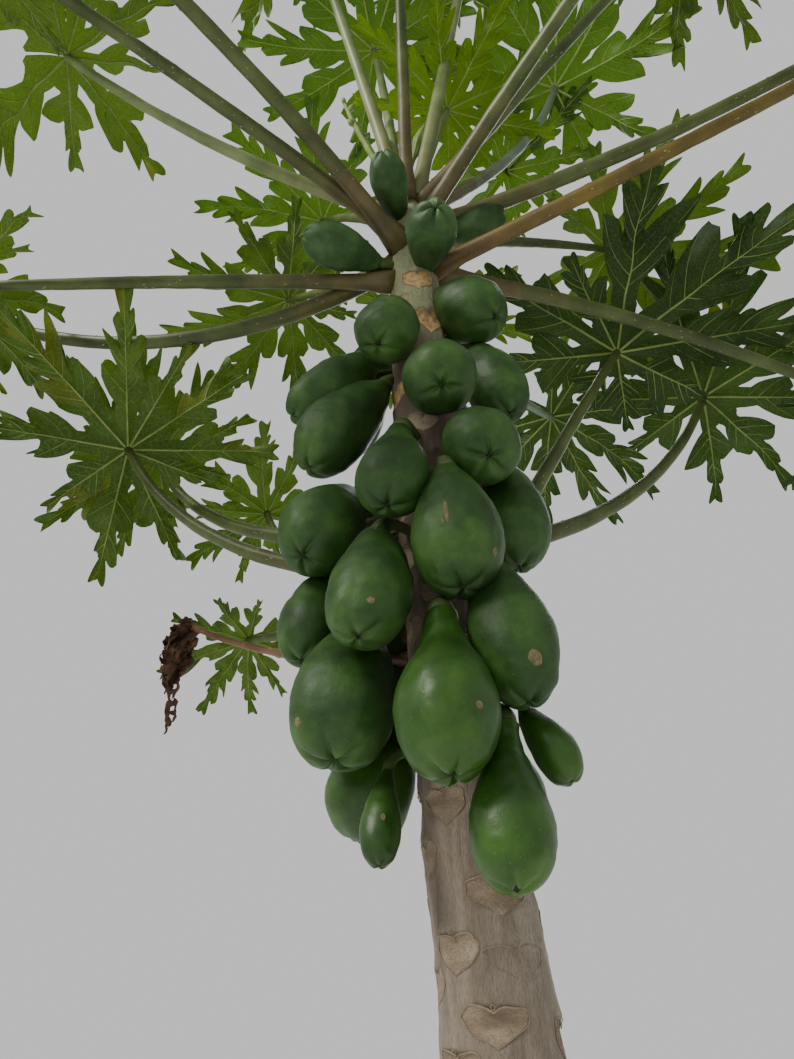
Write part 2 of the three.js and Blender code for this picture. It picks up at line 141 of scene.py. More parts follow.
# Height, heading, rise at the stem, loss of rise by the end, stalk length, span, way it leans, lean, own turn
LEAVES = [
    (2760, 186, -5, 5, 860, 400, 187, 30, 0),
    (2820, 174, -38, -82, 1120, 370, 150, 35, 0),
    (2840, 226, 25, 32, 1040, 370, 228, 25, 0),
    (2880, 215, 14, 11, 910, 370, 210, 20, 0),
    (2960, 197, 4, -28, 765, 400, 215, 25, 0),
    (3040, 220, 70, 2, 830, 360, 240, 30, 0),
    (2985, 266, 64, 8, 700, 370, 264, 20, 0),
    (3000, 323, 78, -1, 940, 350, 320, 16, 8),
    (2900, 307, 25, 14, 930, 380, 305, 20, 0),
    (2985, 330, 40, 3, 840, 370, 332, 20, 0),
    (2920, 339, 0, -22, 1010, 380, 343, 15, 0),
    (2785, 335, 9, -4, 1000, 390, 336, 15, 0),
    (2800, 12, 0, 22, 1080, 390, 12, 30, 0),
    (3030, 146, 87, 7, 700, 420, 90, 32, 0),
    (3050, 5, 77, 2, 335, 300, 90, 30, 0),
    (2990, 11, 40, -35, 713, 430, 50, 35, 0),
    (2900, 28, 33, 11, 655, 380, 60, 45, 0),
    (2960, 43, 62, 11, 640, 300, 60, 55, 0),
    (2740, 54, -8, -32, 606, 330, 60, 45, 0),
    (2860, 128, 27, -8, 590, 340, 110, 45, 0),
    (2950, 122, 56, 14, 655, 350, 100, 45, 0),
    (2930, 82, 44, 20, 800, 370, 82, 45, 0),
    (2110, 163, 3, -57, 741, 370, 112, 50, -14),
    (2220, 149, -2, -61, 812, 330, 110, 50, 0),
    (2200, 125, 1, -56, 753, 240, 110, 45, 0),
    (2040, 27, 61, 3, 857, 470, 100, 50, 0),
    (2150, 30, 20, -41, 1028, 420, 50, 45, 0),
    (1990, 128, 24, 11, 653, 200, 110, 40, 0),
]
WILTED_STALK = (1960, 147, 8, -22, 581)
WILTED_SHARE = 0.6  # of a fresh stalk's thickness
WILTED_STRIPS = 15
WILTED_GRID = (46, 12)
WILTED_LONGEST = 235  # the first strip
WILTED_LENGTHS = (80, 165)
WILTED_WIDTHS = (13, 26)
WILTED_CRUMPLE = (2.6, 16)
WILTED_HOLES = (13, 1.0)  # their size, and the noise from which there is one

# Colours of blades that aren't middling and stalks that aren't olive, number 29 being the wilted one, then share of
# yellowed fingers and where they begin
# Blades 12, 13, 19, 26 and 27 are darker leaves with painted shade laid on their green
# Blades 14, 16, 18 and 21 take painted light: a lit copy of the middling green
LEAF_TONES = {15: "young", **dict.fromkeys((14, 16, 18, 21), "lit_painted"), **dict.fromkeys((12, 13, 19, 26, 27), "dark")}
STALK_TINTS = {12: "ochre", 16: "grey", 19: "grey", 29: "red", **dict.fromkeys((5, 6, 8, 14, 15), "pale")}
YELLOWED = {23: 0.2, 5: 0.12, 2: 0.2, 24: 0.2, 27: 0.2}
YELLOW_FROM = (0.3, 0.48, 0.68)
YELLOW_LENGTH = 0.2
AMBER_LOBES = {(27, 3)}
AMBER_FROM = 0.55

# Fingers of a lobe in shares of its reach: place of the first and last by their number, then their size and the depth
# of the notches between them by place
FINGER_PLACES = {3: (0.35, 0.68), 2: (0.41, 0.68)}
FINGER_SIZES = [0.36, 0.52, 0.7], [0.37, 0.42, 0.19]
NOTCH_FLOORS = [0.25, 0.5, 0.7, 0.8], [0.09, 0.12, 0.11, 0.08]
FINGERS_END = 0.8
THREE_FINGERS_FROM = 0.82  # a lobe's reach
SLANT = [52, 45, 34]  # veins' angle to the rib at its start, middle and tip
FINGER_POINT = 0.55
FINGER_SHARE = 0.87  # of the room between two notches
LONG_FINGERS = {26: 1.3}
BITTEN = {23: 0.5, 27: 0.25, 24: 0.35, 5: 0.15, 28: 0.4, 2: 0.2, 26: 0.1}
LANCE = 0.15  # half width of a lobe's tip

# Lines of one finger from notch to notch, and how vein-like two of them are
FINGER_LINES = [-1, -0.9, -0.86, -0.82, -0.74, -0.58, -0.36, -0.12, 0, 0.12, 0.36, 0.58, 0.74, 0.82, 0.86, 0.9]
MAIN_LINE, SIDE_LINE = 0, 0.58
MAIN_VEIN, SIDE_VEIN = 1.0, 0.4

# Veins' width in 400ths of a blade's span, share of their line and points, then the ribs' widths from base to tip
VEIN_SHAPES = {MAIN_VEIN: (1.3, 0.95, 7), SIDE_VEIN: (0.6, 0.85, 5)}
RIB_WIDTHS = [0, 0.5, 1], [3.0, 1.7, 0.6]
SPAN_UNITS = 400

# How far fingers droop, then depth and pace or size of a blade's ruffles and swells
DROOP = (0.75, 0.35)
RUFFLE = (0.018, 46)
SWELL = (0.026, 0.28)

# Where round the stem, height, distance out, heading and dip of the blossom end, width, length, neck
FRUIT = [
    (204, 2791, 159, 205, 0, 90, 166, 0.5),
    (247, 2953, 100, 255, -20, 77, 144, 0.3),
    (286, 2776, 107, 276, 6, 100, 167, 0.5),
    (345, 2897, 136, 340, -7, 71, 143, 0.3),
    (238, 2540, 114, 233, 63, 115, 150, 0.2),
    (335, 2645, 103, 322, 45, 125, 190, 0.4),
    (277, 2396, 132, 272, 51, 126, 150, 0.1),
    (348, 2477, 130, 330, 72, 112, 192, 0.3),
    (181, 2487, 166, 188, 47, 112, 222, 0.4),
    (186, 2384, 145, 190, 57, 125, 246, 0.4),
    (301, 2262, 142, 279, 50, 128, 152, 0.2),
    (244, 2206, 154, 248, 73, 118, 187, 0.8),
    (275, 2087, 157, 296, 81, 137, 223, 0.5),
    (345, 2183, 124, 308, 82, 122, 216, 0.4),
    (187, 2170, 180, 233, 55, 142, 205, 0.4),
    (229, 2010, 176, 251, 69, 124, 224, 0.4),
    (175, 2021, 208, 240, 71, 113, 176, 0.3),
    (194, 1884, 160, 252, 68, 152, 255, 0.4),
    (261, 1838, 171, 273, 73, 133, 251, 1),
    (299, 1939, 151, 312, 77, 120, 238, 0.5),
    (316, 1789, 145, 319, 60, 61, 130, 0.5),
    (283, 1703, 156, 262, 72, 102, 220, 1),
    (212, 1701, 142, 260, 67, 54, 141, 0.7),
]
FAR_PAIRS = [(155, 59, 1772), (129, 85, 1944), (148, 59, 2085), (129, 85, 2288), (155, 59, 2460), (129, 85, 2632)]
FAR_ROOT = 107
ROOT_ABOVE = 25  # how far over a fruit's start its stalk leaves the stem
RIBBED = {1: 0.5, 2: 1.0, 3: 1.6, 4: 0.6}  # young fruit with stronger ridges

# A fruit's width along its length, in shares of both: without a neck, then drawn out to one
PLUMP = [
    (0, 0.22), (0.06, 0.45), (0.14, 0.68), (0.27, 0.88), (0.43, 0.99),
    (0.56, 1), (0.72, 0.93), (0.86, 0.74), (0.95, 0.47), (1, 0),
]
DRAWN_OUT = [
    (0, 0.34), (0.1, 0.38), (0.2, 0.47), (0.31, 0.64), (0.43, 0.84),
    (0.6, 1), (0.75, 0.95), (0.88, 0.74), (0.96, 0.45), (1, 0),
]

# Relief of a fruit, in shares of its width: creases and ridges of its five-rayed star, the pit at the blossom end,
# its bow in shares of its length, then depth and size of swells and dimples, these in millimetres
CREASE_DEPTH = 0.042
RIDGE_HEIGHT = 0.012
PIT_DEPTH = 0.025
BOW = 0.035
FRUIT_SWELL = (0.014, 0.9)
FRUIT_DIMPLE = (0.005, 26)
PLAIN_RIBS = 0.4
BLOSSOM_SIZE = 0.055
STALK_KNEE = 60
FRUIT_STALK_RADIUS = 8.5
NEAR_GRID, FAR_GRID = (64, 48), (30, 26)  # points round and along
FAR_FIRST = 100  # number of the first pair on the far side
UPPER_FROM = 2650  # fruit whose middle is higher than this are bloomed and bluer
GREENEST = 1850  # lower ones than this are glossier and yellower

# Corky marks: points round, rings and how proud each is, then fruit, place in the photograph, size, length in sizes
SCAB_ROUND = 28
SCAB_RINGS = [1.1, 1, 0.88, 0.6, 0.3, 0.0]
SCAB_PROUD = [-0.8, 0.5, 1.0, 0.7, 0.9, 0.8]
SCABS = [
    (20, 537, 658, 9, 1.2), (18, 297, 720, 6, 1.2), (16, 370, 599, 5, 1.1), (13, 494, 552, 5, 1.3),
    (13, 447, 508, 3.5, 5), (13, 441, 522, 2, 3), (19, 479, 706, 5, 1), (23, 384, 817, 3, 1.4),
]

# Growing point: the bud's rings by height, a folded leaf's by share of its length, the folded leaves' heading, rise and
# length, the flower stalk, and its buds' place on it, heading and size
BUD_RINGS = [(0.5, 29), (30, 25), (70, 14), (110, 3)]
FOLDED_RINGS = [(0, 6), (0.4, 5), (0.55, 10), (0.7, 15), (0.86, 9), (1, 1.5)]
FOLDED_LEAVES = [(80, 78, 190), (200, 72, 150), (320, 70, 170)]
FLOWER_PATH = [(-232, 2, 3075), (-300, 10, 3180), (-352, -15, 3285), (-380, -34, 3350)]
FLOWER_RADII = [10, 8.5, 7, 4]
FLOWER_BUDS = [(0.55, 26, 7), (0.64, 200, 8), (0.74, 100, 6), (0.82, 320, 7), (0.93, 250, 5)]

# Studio, in metres and watts; a lamp has a place, an aim, a size, its power and its colour
FLOOR_REACH = 24
FLOOR_COLOUR = (226, 226, 222)
WORLD_COLOUR = (240, 241, 240)
WORLD_STRENGTH = 0.82
LAMPS = {
    "key": ((-4.2, -2.6, 6.2), (-0.2, 0, 2.2), 2.2, 500, (1.0, 0.96, 0.9)),
    "back": ((1.5, 3.6, 6.5), (0, 0, 3.0), 4.0, 330, (0.95, 0.98, 1.0)),
}

dice = np.random.default_rng(7)


# Directions, noise and the stem's axis


def direction(heading, rise):
    h, r = radians(heading), radians(rise)
    return np.stack([cos(h) * cos(r), sin(h) * cos(r), sin(r)], -1)


def level_way(turn):
    return np.stack([cos(turn), sin(turn), 0 * turn], -1)


def circle(count):
    return np.arange(count) * 2 * pi / count


def hump(x):
    return np.exp(-(x**2))


def unit(v):
    return v / np.maximum(np.linalg.norm(v, axis=-1, keepdims=True), 1e-9)


def smooth(low, high, x):
    t = np.clip((x - low) / (high - low), 0, 1)
    return t * t * (3 - 2 * t)


def wobble(points, size, seed, waves=6):
    """Smooth noise from about -1 to 1, its bumps about as large as size."""
    r = np.random.default_rng(seed)
    total = 0
    for _ in range(waves):
        ahead = unit(r.normal(size=points.shape[-1]))
        total = total + sin(points @ ahead * (6.28 / size) * r.uniform(0.55, 1.5) + r.uniform(0, 6.28))
    return total / np.sqrt(waves)


def between(stations, x, column=1):
    """A smooth curve through one column of a table, against its first."""
    stations = np.asarray(stations, float)
    level, value = stations[:, 0], stations[:, column]
    slope = np.gradient(value, level)
    slope[1:-1] = (value[2:] - value[:-2]) / (level[2:] - level[:-2])
    i = np.clip(np.searchsorted(level, x, "right") - 1, 0, len(level) - 2)
    span = level[i + 1] - level[i]
    t = (x - level[i]) / span
    rest = 1 - t
    return (
        value[i] * (1 + 2 * t) * rest**2
        + slope[i] * span * t * rest**2
        + value[i + 1] * t**2 * (3 - 2 * t)
        - slope[i + 1] * span * t**2 * rest
    )


def stem_value(height, column):
    return between(STEM_STATIONS, np.clip(height, 0, STEM_HEIGHT), column)


def stem_radius(height):
    return (stem_value(height, 2) + ROOT_FLARE * np.exp(-height / ROOT_FLARE_REACH)) / 2


def stem_axis(height):
    return np.stack([stem_value(height, 1), 0 * height, height], -1)


def pixel_of(points):
    """Where points fall in the photograph."""
    p = radians(PITCH)
    away = points - EYE
    depth = away @ np.array([0, cos(p), sin(p)])
    up = away @ np.array([0, -sin(p), cos(p)])
    return np.stack([CENTRE[0] + FOCAL * away[..., 0] / depth, CENTRE[1] - FOCAL * up / depth], -1)


# Meshes


def placed(name, data):
    """A new object in the scene."""
    thing = bpy.data.objects.new(name, data)
    bpy.context.scene.collection.objects.link(thing)
    return thing


class Heap:
    """Quads gathered for one mesh."""

    def __init__(self):
        self.points, self.quads, self.kinds, self.count = [], [], [], 0

    def add(self, grids, kind=0, closed=True, kinds=None, keep=None):
        """Quads between neighbouring points of one grid, or of a batch of them."""
        m, n = grids.shape[-3:-1]
        number = self.count + np.arange(grids.size // 3).reshape(-1, m, n)
        last = n if closed else n - 1
        here, after = number[..., :last], np.roll(number, -1, axis=2)[..., :last]
        quads = np.stack([here[:, :-1], after[:, :-1], after[:, 1:], here[:, 1:]], -1).reshape(-1, 4)
        kinds = np.full(len(quads), kind) if kinds is None else kinds.reshape(-1)
        if keep is not None:
            quads, kinds = quads[keep.reshape(-1)], kinds[keep.reshape(-1)]
        self.points.append(grids.reshape(-1, 3))
        self.quads.append(quads)
        self.kinds.append(kinds)
        self.count += number.size

    def piece(self, name, materials, slot, nodes=()):
        mesh = bpy.data.meshes.new(name)
        mesh.from_pydata(np.concatenate(self.points) * MM, [], np.concatenate(self.quads), shade_flat=False)
        mesh.polygons.foreach_set("material_index", np.concatenate(self.kinds).astype(np.int32))
        made = bmesh.new()
        made.from_mesh(mesh)
        bmesh.ops.remove_doubles(made, verts=made.verts, dist=WELD)
        bmesh.ops.delete(made, geom=[v for v in made.verts if not v.link_faces], context="VERTS")
        made.to_mesh(mesh)
        made.free()
        mesh.validate()
        for material in materials:
            mesh.materials.append(material)
        thing = placed(name, mesh)
        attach(thing, "root")
        if nodes:
            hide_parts(*nodes)


def rings(path, radii, sides, up):
    """Rings of points round one path or a batch of them; up is any way that isn't along it."""
    ahead = unit(np.gradient(path, axis=-2))
    across = unit(np.cross(ahead, up))
    over = np.cross(ahead, across)
    turn = circle(sides)
    ring = across[..., None, :] * cos(turn)[:, None] + over[..., None, :] * sin(turn)[:, None]
    return path[..., None, :] + ring * radii[..., None, None]


def capped(grid):
    """A closed grid with both its ends drawn to a point."""
    ends = [np.repeat(grid[..., i, :, :].mean(-2, keepdims=True), grid.shape[-2], -2)[..., None, :, :] for i in (0, -1)]
    return np.concatenate([ends[0], grid, ends[1]], -3)


# Materials


def shader(name):
    made = bpy.data.materials.new(name)
    made.use_nodes = True
    tree = made.node_tree
    tree.nodes.clear()

    def add(kind, **settings):
        node = tree.nodes.new("ShaderNode" + kind)
        for key, value in settings.items():
            if hasattr(node, key):
                setattr(node, key, value)
            else:
                node.inputs[key.replace("_", " ")].default_value = value
        return node

    def join(a, out, b, into):
        tree.links.new(a.outputs[out], b.inputs[into])

    return made, add, join


def rgb(r, g, b):
    """A colour as seen on a screen, from 0 to 255, turned linear."""
    c = np.array([r, g, b]) / 255
    return (*np.where(c <= 0.04045, c / 12.92, ((c + 0.055) / 1.055) ** 2.4), 1)


TALL_SHARE = 0.8  # of a tint that comes in with height
WEB_EDGE = 0.09  # breadth of a net's lines
FIBRES = (0.44, 0.66)  # where in their noise they begin and end
SPECK_CORE = 0.4
BUMP_STRENGTH = 0.6


def surface(
    name, colours, rough, blotch, bump, *,
    at=None, stretch=(1, 1, 1), sheen=0.3, tall=(), web=(), grain=(), specks=(), glow=(),
):
    """A plant skin. Its colours lie at places of blotchy noise of scale blotch, bump lists (scale, depth in mm) of
    relief, tall (from, to, colour) of tints that come in with height in metres; web is (scale, colour, share) of a net
    of fine veins, grain of fibres along the stretch, specks (scale, size, colour, share), glow (colour, share) of light
    let through."""
    made, add, join = shader(name)
    skin = add("BsdfPrincipled", Roughness=rough, Specular_IOR_Level=sheen)
    place, mapping = (add("TexCoord"), "Object"), add("Mapping", Scale=stretch)
    join(*place, mapping, "Vector")
    stretched = mapping, "Vector"
    noise = add("TexNoise", Scale=blotch, Detail=4.0, Roughness=0.6)
    join(*stretched, noise, "Vector")
    ramp = add("ValToRGB")
    join(noise, "Fac", ramp, "Fac")
    elements = ramp.color_ramp.elements
    while len(elements) < len(colours):
        elements.new(0.5)
    for element, spot, colour in zip(elements, at or np.linspace(0.3, 0.7, len(colours)), colours):
        element.position, element.color = spot, rgb(*colour)

    def tinted(under, space, pattern, port, low, high, share, tint):
        """Lays a tint over what is under it where a pattern goes from low to high."""
        mask = add("MapRange", clamp=True, From_Min=low, From_Max=high, To_Min=0.0, To_Max=share)
        mix = add("Mix", data_type="RGBA")
        join(*space, pattern, "Vector")
        join(pattern, port, mask, "Value")
        join(mask, "Result", mix, 0)
        join(*under, mix, 6)
        mix.inputs[7].default_value = rgb(*tint)
        return mix, 2

    under = ramp, "Color"
    for low, high, tint in tall:
        under = tinted(under, place, add("SeparateXYZ"), "Z", low, high, TALL_SHARE, tint)
    if web:
        scale, tint, share = web
        cells = add("TexVoronoi", feature="DISTANCE_TO_EDGE", Scale=scale)
        under = tinted(under, place, cells, "Distance", WEB_EDGE, 0.0, share, tint)
    if grain:
        scale, tint, share = grain
        fibres = add("TexNoise", Scale=scale, Detail=2.0, Roughness=0.5)
        under = tinted(under, stretched, fibres, "Fac", *FIBRES, share, tint)
    if specks:
        scale, size, tint, share = specks
        dots = add("TexVoronoi", Scale=scale)
        under = tinted(under, stretched, dots, "Distance", size, size * SPECK_CORE, share, tint)
    join(*under, skin, "Base Color")
    before = skin
    for scale, depth in reversed(bump):
        bumps = add("TexNoise", Scale=scale, Detail=3.0)
        join(*stretched, bumps, "Vector")
        relief = add("Bump", Strength=BUMP_STRENGTH, Distance=depth * MM)
        join(bumps, "Fac", relief, "Height")
        join(relief, "Normal", before, "Normal")
        before = relief
    shown = skin, "BSDF"
    if glow:
        light, share = glow
        mix = add("MixShader", Fac=share)
        join(*shown, mix, 1)
        join(add("BsdfTranslucent", Color=rgb(*light)), "BSDF", mix, 2)
        shown = mix, "Shader"
    join(*shown, add("OutputMaterial"), "Surface")
    return made


BARK = surface(
    "bark", [(97, 88, 77), (129, 119, 106), (163, 154, 141)], 0.85, 16, [(50, 2.2), (240, 1.8), (600, 0.8)],
    at=(0.3, 0.5, 0.72), stretch=(1, 1, 0.14), sheen=0.15, grain=(820, (92, 80, 66), 0.55),
    # the first tint darkens the bark between the fruit: browner young bark, and painted shade under the fruit; the
    # second is the greener young bark near the top
    tall=[(1.75, 2.15, (92, 78, 68)), (2.5, 2.68, (142, 150, 114))],
)
SCAR = surface(
    "leaf_scar", [(106, 93, 78), (136, 122, 104), (162, 149, 131)], 0.9, 24, [(90, 1.0), (300, 0.8)],
    at=(0.3, 0.52, 0.75), stretch=(0.5, 0.5, 1.6), sheen=0.1, grain=(600, (90, 76, 60), 0.55),
)
RIM = surface("scar_rim", [(116, 103, 86), (152, 138, 118)], 0.85, 60, [(200, 0.4)], sheen=0.1)
FRESH = surface(
    "fresh_scar", [(128, 100, 66), (170, 142, 98), (196, 172, 128)], 0.85, 90, [(160, 0.8)],
    at=(0.3, 0.52, 0.75), sheen=0.15,
)


def mixed(a, b, share):
    return tuple(p * (1 - share) + q * share for p, q in zip(a, b))


def leafy(name, dark, pale, *rest, **more):
    return surface(name, [dark, mixed(dark, pale, 0.5), pale], *rest, **more)


# Leaf stalks: their colours, and how many steps and what share of the stem's colour lead up to them
STALK_BASES = 3
CROWN_SHARE, PALE_CROWN_SHARE = 0.6, 0.3
STALK_COLOURS = {
    "olive": ((50, 60, 25), (86, 98, 50)),
    "pale": ((92, 108, 64), (136, 148, 100)),
    "grey": ((88, 104, 84), (124, 140, 116)),
    "ochre": ((72, 62, 20), (110, 93, 35)),
    "red": ((84, 56, 38), (122, 90, 62)),
}
CROWN_END = (76, 58, 40), (112, 88, 62)
STALK = {}
for tint, (dark, pale) in STALK_COLOURS.items():
    for step in range(STALK_BASES + 1):
        share = (1 - step / STALK_BASES) * (PALE_CROWN_SHARE if tint == "pale" else CROWN_SHARE)
        STALK[f"{tint}_{step}"] = leafy(
            f"stalk_{tint}_{step}", mixed(dark, CROWN_END[0], share), mixed(pale, CROWN_END[1], share), 0.42, 12,
            [(45, 0.6), (220, 0.25)], specks=(80, 0.1, (150, 154, 118), 0.5),
        )
WART = surface("stalk_warts", [(118, 122, 84), (152, 154, 116)], 0.6, 60, [(200, 0.2)])


# Leaf blades: dark and pale colour, the light let through and its share, share of specks; a vein is lighter by so much
BLADE_COLOURS = {
    "mid": ((28, 52, 11), (66, 92, 25), (82, 110, 20), 0.26, 0.45),
    # painted light: the middling green made lighter as if lit
    "lit_painted": ((32, 62, 12), (70, 102, 28), (86, 120, 24), 0.27, 0.1),
    # darker leaves, partly painted shade
    "dark": ((18, 38, 8), (46, 70, 18), (54, 80, 14), 0.18, 0.1),
    "young": ((60, 92, 6), (98, 130, 16), (116, 152, 8), 0.38, 0.1),
    "yellowed": ((46, 64, 14), (86, 98, 27), (104, 116, 22), 0.26, 0.6),
    "amber": ((112, 78, 22), (150, 108, 36), (160, 112, 30), 0.22, 0.1),
}
WEB_LIFT = 28
BLADE = {
    name: leafy(
        "leaf_" + name, dark, pale, 0.5, 8, [(24, 2.2), (110, 0.8)], sheen=0.22, glow=(light, share),
        web=(110, tuple(c + WEB_LIFT for c in pale), 0.55), specks=(52, 0.2, (132, 132, 44), spotted),
    )
    for name, (dark, pale, light, share, spotted) in BLADE_COLOURS.items()
}
BLADE_ORDER = list(BLADE)
VEIN = surface("leaf_veins", [(92, 112, 48), (128, 144, 76)], 0.45, 30, [(160, 0.2)])
PALE_VEIN = surface("leaf_veins_pale", [(112, 138, 60), (150, 170, 92)], 0.45, 30, [(160, 0.2)])

# Fruit from the top down
FRUIT_SKINS = [
    surface(
        "fruit_bloomed", [(29, 53, 23), (47, 76, 36), (69, 100, 54)], 0.54, 16, [(20, 1.8), (90, 1.0), (300, 0.4)],
        specks=(110, 0.13, (110, 130, 88), 0.4), sheen=0.28,
    ),
    surface(
        "fruit_green", [(26, 51, 17), (43, 74, 26), (65, 98, 41)], 0.5, 14, [(18, 1.8), (90, 1.0), (300, 0.4)],
        specks=(110, 0.12, (108, 130, 78), 0.4), sheen=0.3,
    ),
    surface(
        "fruit_glossy", [(28, 55, 12), (43, 76, 19), (61, 96, 29)], 0.4, 13, [(18, 1.6), (90, 0.8), (300, 0.3)],
        specks=(110, 0.12, (114, 138, 74), 0.4), sheen=0.34,
    ),
]
BLOSSOM_END = surface("fruit_blossom_end", [(22, 24, 16), (46, 42, 28)], 0.8, 160, [(260, 0.6)])
SCAB = surface(
    "fruit_scab", [(82, 80, 54), (112, 104, 74), (134, 124, 94)], 0.85, 240, [(320, 0.6)], at=(0.3, 0.55, 0.78),
)
FRUIT_STALK = surface("fruit_stalk", [(50, 70, 32), (80, 96, 50)], 0.6, 50, [(160, 0.6)])
DEAD = surface(
    "leaf_dead", [(44, 31, 25), (78, 57, 45), (116, 90, 70)], 0.85, 26, [(80, 2.0), (260, 0.6)],
    at=(0.3, 0.5, 0.72), glow=((100, 66, 44), 0.12), sheen=0.15,
)
SHOOT = surface(
    "shoot", [(100, 124, 60), (146, 162, 96)], 0.5, 40, [(120, 0.5)], glow=((160, 184, 80), 0.15),
)


# Stem


def heart(turn):
    """A leaf scar's outline in half widths and half heights, pointed below and notched above."""
    return sin(turn), (0.8 * np.abs(sin(turn)) ** (2 / 3) + cos(turn)) / 1.16 - 0.13


def all_scars():
    """Height, heading, width, height, clearness and freshness of every leaf scar, the seen ones first."""
    scars = [(*row, 0) for row in SEEN_SCARS] + [(*row, 1) for row in FRESH_SCARS]
    number, level, heading = SCAR_FIRST
    (low, high, right, left), (up, aside), (room, berth) = SEEN_BAND, SCAR_STRAY, FRESH_ROOM
    for k in range(number, SCAR_LAST + 1):
        middle = level + SCAR_CLIMB * k + dice.uniform(-up, up)
        around = (heading + SCAR_TURN * k + dice.uniform(-aside, aside)) % 360
        wide = SCAR_WIDTH * stem_radius(middle) * dice.uniform(0.85, 1.1)
        tall = np.interp(middle, *SCAR_HEIGHTS) * dice.uniform(0.9, 1.1)
        seen = low < middle < high and right < around < left
        crowded = any(abs(middle - row[0]) < room and abs(around - row[1]) < berth for row in FRESH_SCARS)
        if not (seen or crowded):
            scars.append((middle, around, wide, tall, dice.uniform(0.3, 1), 0))
    return scars


def bark_point(height, heading, scars, proud=0.0, hollow=1.0):
    """Points on the bark, which is hollow under the scars; heading in radians."""
    radius = stem_radius(height)
    outward = level_way(heading)
    skin = stem_axis(height) + outward * radius[..., None]
    relief = BARK_SWELLS[0] * wobble(skin, BARK_SWELLS[1], 3)
    relief = relief + BARK_KNOBBLES[0] * wobble(skin * [1, 1, 0.4], BARK_KNOBBLES[1], 4, 9)
    for level, around, wide, tall, clear, _ in scars:
        near = np.abs(height - level) < tall
        away = (heading - radians(around) + pi) % (2 * pi) - pi
        u, v = away * radius / (wide / 2), (height - level) / (tall / 2)
        far = np.hypot(u, v - 0.15)
        shelf = SCAR_SHELF * hump((v - 1.3) / 0.5) * hump(u) + SCAR_RIDGE * hump((far - 1.15) / 0.25)
        bud = np.hypot(u * wide / 2, (v - 1.1) * tall / 2)
        knob = SCAR_BUD[0] * hump(bud / SCAR_BUD[1])
        dent = hollow * (0.4 + 0.6 * smooth(-0.8, 0.8, v)) * np.exp(-(far**4))
        relief = relief + near * (0.4 + 0.6 * clear) * (shelf + knob - dent)
    return skin + outward * (relief + proud)[..., None]


def build_stem():
    scars = all_scars()
    heights = np.concatenate([np.linspace(a, b, n, endpoint=b == STEM_HEIGHT) for a, b, n in BARK_ROWS])
    h, t = np.meshgrid(heights, circle(BARK_ROUND), indexing="ij")
    skin = bark_point(h, t, scars, hollow=BARK_HOLLOW)
    fine = BARK_WRINKLES[0] * wobble(skin * [1, 1, 0.2], BARK_WRINKLES[1], 5, 9)
    skin += level_way(t) * fine[..., None]
    skin[0, :, 2], skin[-1, :, 2] = 0, STEM_HEIGHT
    bark, marks = Heap(), Heap()
    bottom, top = (np.broadcast_to(stem_axis(height), skin[0].shape) for height in (0, STEM_HEIGHT))
    bark.add(np.stack([bottom, *skin, top]))
    bark.piece("stem", [BARK], "bark", ["trunk"])

    turn = circle(SCAR_ROUND)
    shrink, proud = np.array(PATCH_RINGS)[:, None], np.array(PATCH_PROUD)[:, None]
    for k, (level, around, wide, tall, clear, fresh) in enumerate(scars):
        if level < SCAR_MARGINS[0] or level > STEM_HEIGHT - SCAR_MARGINS[1]:
            continue
        u, v = heart(turn)
        shake = 1 + 0.05 * sin(3 * turn + k) + 0.03 * sin(7 * turn + 2 * k)
        u, v = u * shake * wide / 2, v * shake * tall / 2
        across, up = u * shrink, v * shrink
        crease = CREASE[0] * hump(across / (CREASE[1] * wide)) * smooth(-0.35, 0, up / tall) * (shrink < 1)
        heading = radians(around)
        radius = stem_radius(level)
        if clear > PATCH_FROM:
            patch = bark_point(level + up, heading + across / radius, scars, proud - crease, PATCH_HOLLOW)
            marks.add(patch, 1 + fresh)
        thick = (0.85 + 0.4 * cos(turn)) * (0.3 + 0.7 * clear) * wide / 80
        rim = bark_point(level + v, heading + u / radius, scars, RIM_PROUD)
        high, broad, thin = BUD_RING
        small = turn[::2]
        bud = level + 0.5 * tall + high * cos(small), heading + broad * sin(small) / radius
        bud = bark_point(*bud, scars, BUD_PROUD)
        for loop, radii in ((rim, thick), (bud, np.full(len(small), thin * clear))):
            loop, radii = (np.concatenate([row, row[:2]]) for row in (loop, radii))
            marks.add(rings(loop, radii, 4, UPWARDS))
    marks.piece("leaf_scars", [RIM, SCAR, FRESH], "bark")


# Leaf stalks


def stalk_path(row, steps=28):
    height, heading, rise, sag, length = row[:5]
    start = stem_axis(height) + direction(heading, 0) * (stem_radius(height) - STALK_SUNK)
    coarse = direction(heading, rise - sag * (np.arange(STALK_STEPS) + 0.5) / STALK_STEPS) * length / STALK_STEPS
    end = start + coarse.sum(0)
    fine = direction(heading, rise - sag * (np.arange(steps) + 0.5) / steps) * length / steps
    path = np.concatenate([[start], start + np.cumsum(fine, 0)])
    return path + np.linspace(0, 1, steps + 1)[:, None] * (end - path[-1])


